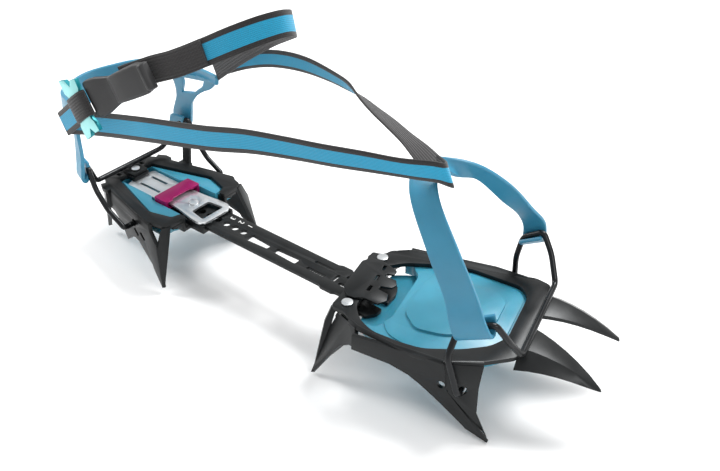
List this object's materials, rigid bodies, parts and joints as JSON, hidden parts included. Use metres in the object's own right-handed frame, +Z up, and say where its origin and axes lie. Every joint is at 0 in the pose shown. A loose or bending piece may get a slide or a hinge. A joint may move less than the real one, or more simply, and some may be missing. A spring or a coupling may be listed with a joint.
{
  "type": "strap-on crampon",
  "caption": "Strap-on crampon: heel and front point frames on a sliding linkage bar, hinged wire bails with soft baskets, and a webbing strap with a toggle buckle.",
  "frame": {"origin": "centre of the bounding box in plan, on the ground plane under the lowest points", "axes": "+X from heel to toe, +Y towards the inner side of the foot, +Z up"},
  "size_m": [0.3684, 0.1344, 0.1938],
  "materials": {
    "black_steel": "satin powder coat",
    "black_wire": "semi-gloss coated wire",
    "silver_steel": "satin stainless",
    "magenta_anodised": "satin anodised",
    "pale_anodised": "satin anodised",
    "dark_metal": "satin",
    "blue_tpu": "smooth translucent elastomer",
    "pale_tpu": "smooth translucent elastomer",
    "webbing": "ribbed woven tape, dark edges"
  },
  "bodies": {
    "heel": {"heel_frame": "black_steel", "heel_antisnow_plate": "pale_tpu", "bar_guide": "black_steel", "guide_rivet_outer": "black_steel", "guide_rivet_inner": "black_steel", "adjuster_fork": "silver_steel", "fork_rivet": "silver_steel", "fork_bracket": "black_steel", "lock_clip": "magenta_anodised", "heel_basket": "blue_tpu", "strap_outer": "webbing", "strap_inner": "webbing", "strap_instep": "webbing", "strap_tail": "webbing", "strap_toggle_end": "webbing", "toggle": "pale_anodised", "buckle_body": "dark_metal"},
    "heel_wire": {"heel_bail": "black_wire"},
    "lever": {"lock_lever": "silver_steel", "lock_pin": "silver_steel"},
    "front": {"linkage_bar": "black_steel", "front_frame": "black_steel", "front_antisnow_plate": "pale_tpu", "bar_retainer": "black_steel", "bar_rivet_outer": "silver_steel", "bar_rivet_inner": "silver_steel", "front_basket": "blue_tpu"},
    "toe_wire": {"front_bail": "black_wire"}
  },
  "joints": [
    {"name": "length_slide", "type": "slide", "parent": "heel", "child": "front", "axis": [1, 0, 0], "range_m": [-0.0292, 0.0146], "deforming": ["strap_outer", "strap_inner"]},
    {"name": "heel_wire_hinge", "type": "hinge", "parent": "heel", "child": "heel_wire", "pos_m": [-0.11212, -0.01024, 0.03477], "axis": [0, 1, 0], "range_deg": [0, 12]},
    {"name": "toe_wire_hinge", "type": "hinge", "parent": "front", "child": "toe_wire", "pos_m": [0.11452, 0.01522, 0.02737], "axis": [0.2588, -0.9659, 0], "range_deg": [0, 12]},
    {"name": "lever_lift", "type": "hinge", "parent": "heel", "child": "lever", "pos_m": [-0.10712, -0.01024, 0.04087], "axis": [0, -1, 0], "range_deg": [0, 14], "stiffness_Nm_per_rad": 0.3, "springref_deg": -5.73}
  ]
}
